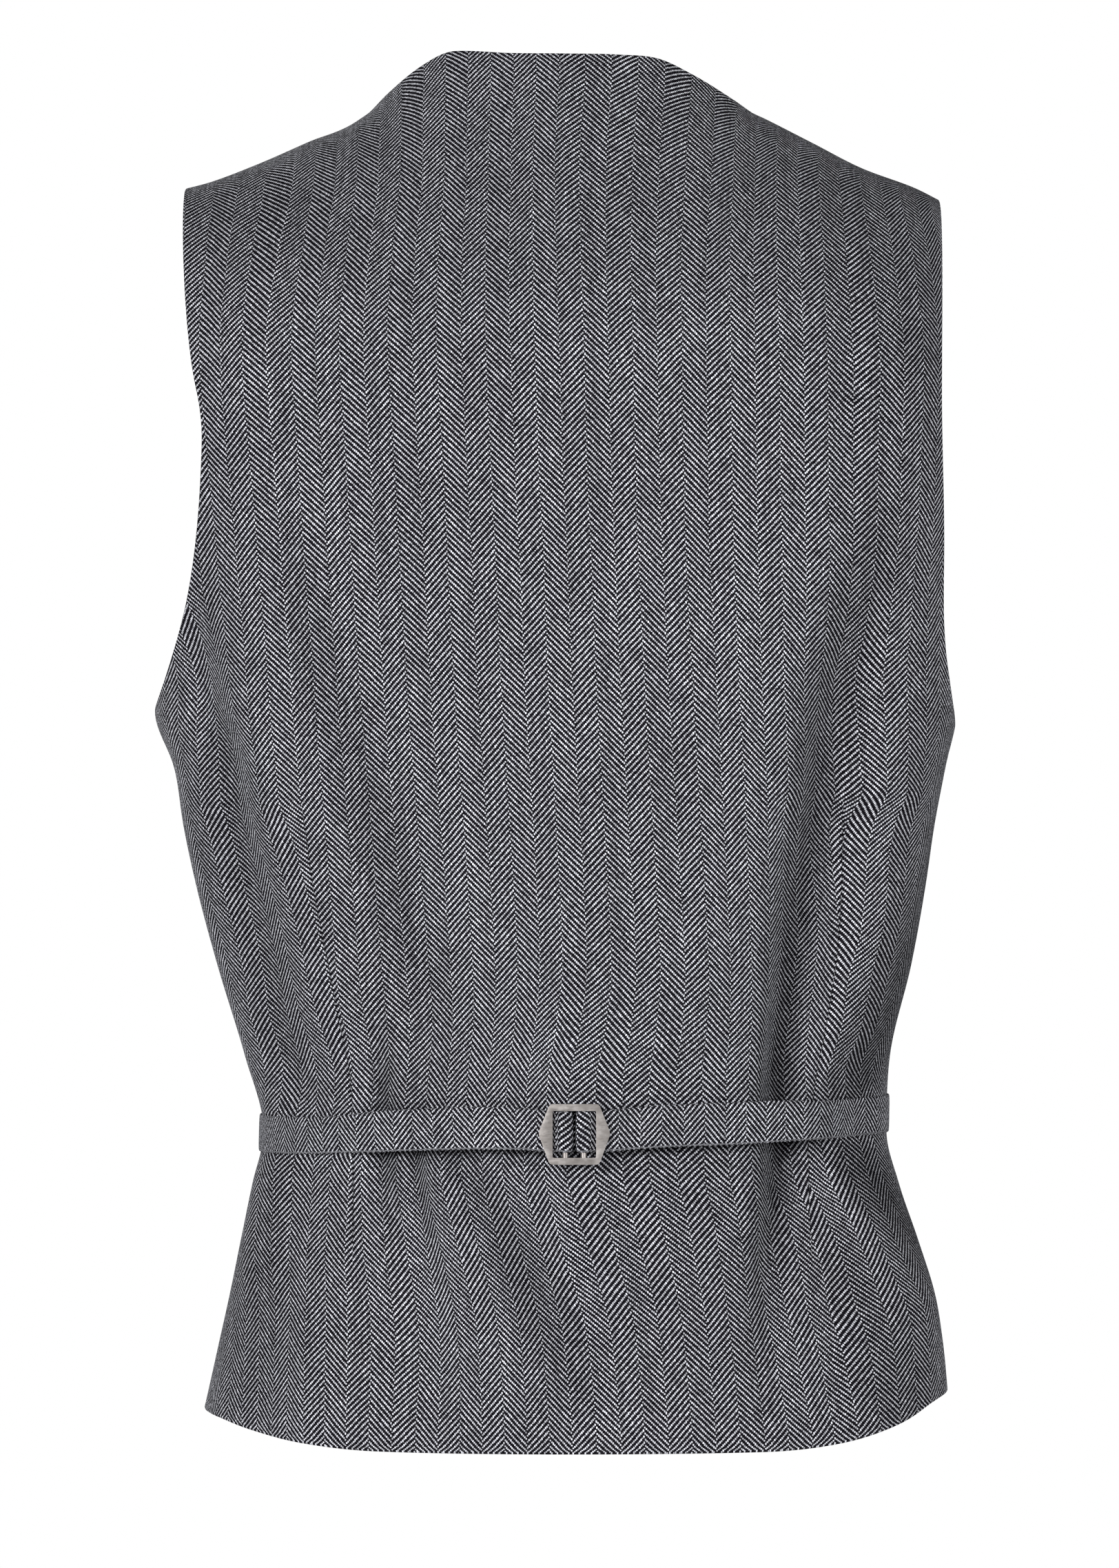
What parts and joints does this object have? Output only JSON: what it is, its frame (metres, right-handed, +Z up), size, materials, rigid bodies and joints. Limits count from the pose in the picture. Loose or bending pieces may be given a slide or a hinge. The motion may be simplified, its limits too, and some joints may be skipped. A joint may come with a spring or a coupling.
{
  "type": "suit waistcoat",
  "caption": "Fitted sleeveless waistcoat in herringbone wool, worn under a suit jacket: buttoned V front and a half belt with a cinch buckle across the back.",
  "frame": {"origin": "base of the neck, midway between the two shoulder seams, at the level of the neck points where the wearer's shoulders carry the garment", "axes": "+Z up the wearer, -Y the way the wearer faces (the buttoned front), +Y the back with its half belt, +X the wearer's left"},
  "size_m": [0.3407, 0.2331, 0.6015],
  "materials": {
    "wool": "brushed herringbone wool, matt",
    "buckle_metal": "antique pewter, brushed",
    "button_horn": "dark horn-like polish"
  },
  "bodies": {
    "root": {"back": "wool", "front_left": "wool", "front_right": "wool", "belt_left": "wool", "belt_right": "wool", "buckle": "buckle_metal", "button_1": "button_horn", "button_2": "button_horn", "button_3": "button_horn", "button_4": "button_horn", "button_5": "button_horn"}
  },
  "joints": []
}
